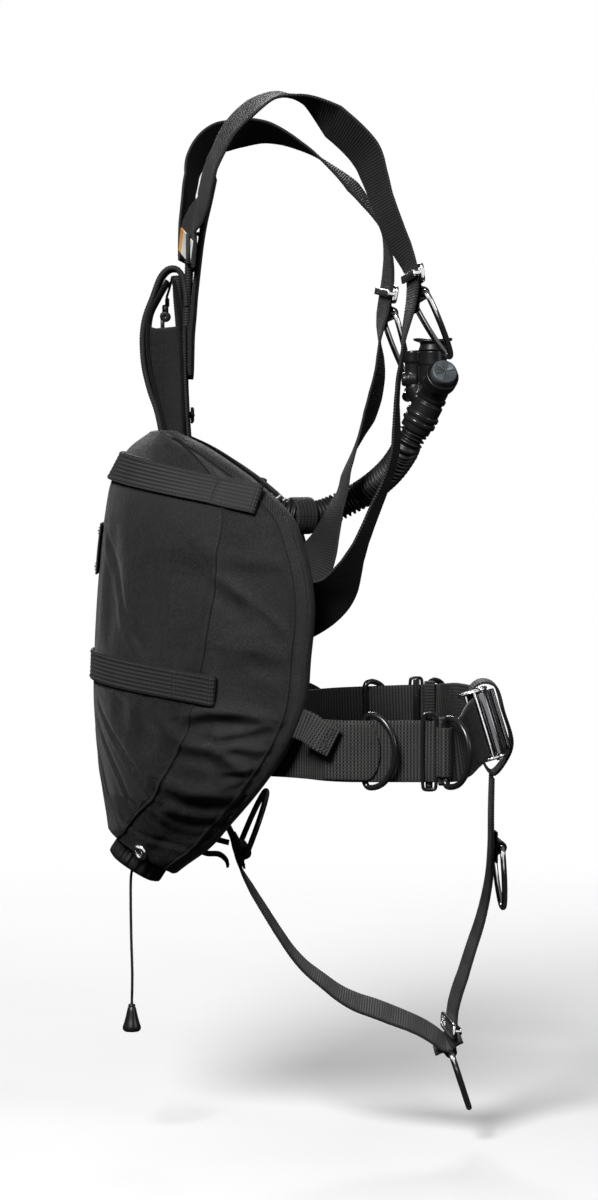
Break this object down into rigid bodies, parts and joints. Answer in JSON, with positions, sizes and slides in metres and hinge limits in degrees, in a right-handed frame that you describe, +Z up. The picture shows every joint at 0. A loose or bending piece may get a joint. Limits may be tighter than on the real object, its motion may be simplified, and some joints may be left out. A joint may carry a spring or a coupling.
{
  "type": "sidemount diving buoyancy harness",
  "caption": "Diving buoyancy harness: black fabric air wing behind the back, webbing shoulder, waist and crotch straps, steel rings, corrugated inflator hose and a dump valve with a pull cord.",
  "frame": {"origin": "centre of the lumbar plate's face against the wearer's back", "axes": "+X the wearer's forward, +Y the wearer's left, +Z up along the spine"},
  "size_m": [0.3592, 0.3662, 0.8607],
  "materials": {
    "wing_fabric": "coated woven nylon, dull with a faint sheen",
    "webbing": "ribbed woven nylon webbing",
    "bladder_film": "smooth urethane film",
    "label": "plain woven patch",
    "black_rubber": "moulded rubber",
    "cord": "braided sleeve over a core",
    "black_plastic": "moulded, satin",
    "grey_plastic": "moulded, satin",
    "polished_steel": "polished stainless",
    "dark_chrome": "dark polished",
    "black_steel": "black coated, satin"
  },
  "bodies": {
    "harness": {"wing_shell": "wing_fabric", "inner_bladder": "bladder_film", "wing_band_upper": "webbing", "wing_band_lower": "webbing", "rear_keeper": "webbing", "wing_tie_right": "webbing", "wing_tie_left": "webbing", "wing_lower_tie": "webbing", "eyelet_right": "polished_steel", "eyelet_left": "polished_steel", "valve_seat": "black_plastic", "valve_cap": "black_plastic", "valve_spring": "polished_steel", "hose_port": "black_plastic", "hose_lower": "black_rubber", "hose_keeper": "webbing", "shoulder_strap_right": "webbing", "shoulder_strap_left": "webbing", "chest_slider_right": "polished_steel", "chest_slider_left": "polished_steel", "shoulder_plate": "wing_fabric", "label_patch": "label", "spine_strap": "webbing", "book_screw": "black_steel", "trim_pocket": "wing_fabric", "trim_strap": "webbing", "trim_buckle": "black_plastic", "lumbar_plate": "wing_fabric", "waist_belt_right": "webbing", "waist_belt_left": "webbing", "buckle_frame": "polished_steel", "buckle_pin": "polished_steel", "crotch_strap": "webbing", "crotch_loop": "webbing", "crotch_slider": "polished_steel"},
    "inflator": {"hose_upper": "black_rubber", "hose_clamp": "black_steel", "inflator_body": "black_plastic", "mouthpiece": "black_rubber", "inlet_nipple": "polished_steel", "deflate_spring": "polished_steel"},
    "deflate": {"deflate_button": "grey_plastic"},
    "inflate": {"inflate_button": "black_steel"},
    "dump_cord": {"pull_cord": "cord", "pull_knob": "black_plastic"},
    "dump_plunger": {"valve_plunger": "black_rubber"},
    "chest_d_right": {"chest_ring_right": "polished_steel"},
    "chest_d_left": {"chest_ring_left": "polished_steel"},
    "side_d_right": {"side_ring_right": "black_steel"},
    "side_d_left": {"side_ring_left": "black_steel"},
    "adjuster_right": {"front_slider_right": "black_steel", "front_keeper_right": "webbing"},
    "adjuster_left": {"front_slider_left": "black_steel", "front_keeper_left": "webbing"},
    "front_d_right": {"front_ring_right": "black_steel"},
    "front_d_left": {"front_ring_left": "black_steel"},
    "lever": {"buckle_lever": "dark_chrome"},
    "crotch_d_upper": {"crotch_ring_upper": "polished_steel"},
    "crotch_d_lower": {"crotch_ring_lower": "polished_steel"},
    "butt_d": {"butt_ring": "black_steel"}
  },
  "joints": [
    {"name": "hose_flex", "type": "hinge", "parent": "harness", "child": "inflator", "pos_m": [0.164, 0.065, 0.256], "axis": [0, 1, 0], "range_deg": [-10, 12], "stiffness_Nm_per_rad": 1.5},
    {"name": "deflate_press", "type": "slide", "parent": "inflator", "child": "deflate", "axis": [-0.2502, 0.8406, -0.4804], "range_m": [0, 0.003], "stiffness_N_per_m": 200, "deforming": ["deflate_spring"]},
    {"name": "inflate_press", "type": "slide", "parent": "inflator", "child": "inflate", "axis": [1, 0, 0], "range_m": [0, 0.002]},
    {"name": "dump_pull", "type": "slide", "parent": "harness", "child": "dump_cord", "axis": [0, 0, -1], "range_m": [0, 0.007], "stiffness_N_per_m": 60},
    {"name": "plunger_lift", "type": "slide", "parent": "harness", "child": "dump_plunger", "axis": [-0.5408, 0, -0.8412], "range_m": [0, 0.007], "deforming": ["valve_spring"]},
    {"name": "chest_ring_right_swing", "type": "hinge", "parent": "harness", "child": "chest_d_right", "pos_m": [0.16284, -0.1028, 0.36805], "axis": [0.1599, -0.9838, 0.0808], "range_deg": [-10, 100]},
    {"name": "chest_ring_left_swing", "type": "hinge", "parent": "harness", "child": "chest_d_left", "pos_m": [0.14347, 0.09689, 0.35868], "axis": [0.1549, -0.9867, 0.0489], "range_deg": [-10, 100]},
    {"name": "side_ring_right_swing", "type": "hinge", "parent": "harness", "child": "side_d_right", "pos_m": [0.118, -0.1474, 0], "axis": [0, 0, -1], "range_deg": [0, 80]},
    {"name": "side_ring_left_swing", "type": "hinge", "parent": "harness", "child": "side_d_left", "pos_m": [0.124, 0.1474, 0.00372], "axis": [0, 0, 1], "range_deg": [0, 80]},
    {"name": "adjuster_right_slide", "type": "slide", "parent": "harness", "child": "adjuster_right", "axis": [-1, 0, 0], "range_m": [0, 0.02]},
    {"name": "adjuster_left_slide", "type": "slide", "parent": "harness", "child": "adjuster_left", "axis": [-1, 0, 0], "range_m": [0, 0.02]},
    {"name": "front_ring_right_swing", "type": "hinge", "parent": "adjuster_right", "child": "front_d_right", "pos_m": [0.182, -0.1594, 0], "axis": [0, 0, -1], "range_deg": [-40, 90]},
    {"name": "front_ring_left_swing", "type": "hinge", "parent": "adjuster_left", "child": "front_d_left", "pos_m": [0.182, 0.1594, 0.00572], "axis": [0, 0, 1], "range_deg": [-40, 90]},
    {"name": "lever_lift", "type": "hinge", "parent": "harness", "child": "lever", "pos_m": [0.22345, -0.07082, 0.01565], "axis": [0.2889, -0.0652, -0.9551], "range_deg": [0, 110]},
    {"name": "crotch_ring_upper_swing", "type": "hinge", "parent": "harness", "child": "crotch_d_upper", "pos_m": [0.23428, 0.0005, -0.09514], "axis": [0.0863, -0.9962, 0.0074], "range_deg": [0, 140]},
    {"name": "crotch_ring_lower_swing", "type": "hinge", "parent": "harness", "child": "crotch_d_lower", "pos_m": [0.1939, 0.00079, -0.26984], "axis": [0.0089, -1, 0.0029], "range_deg": [-20, 100]},
    {"name": "butt_ring_swing", "type": "hinge", "parent": "harness", "child": "butt_d", "pos_m": [0.01741, 0.00079, -0.09877], "axis": [-0.1072, 0.9933, 0.0426], "range_deg": [-10, 110]}
  ],
  "couplings": [
    {"joint": "plunger_lift", "follows": "dump_pull", "ratio": 1}
  ]
}
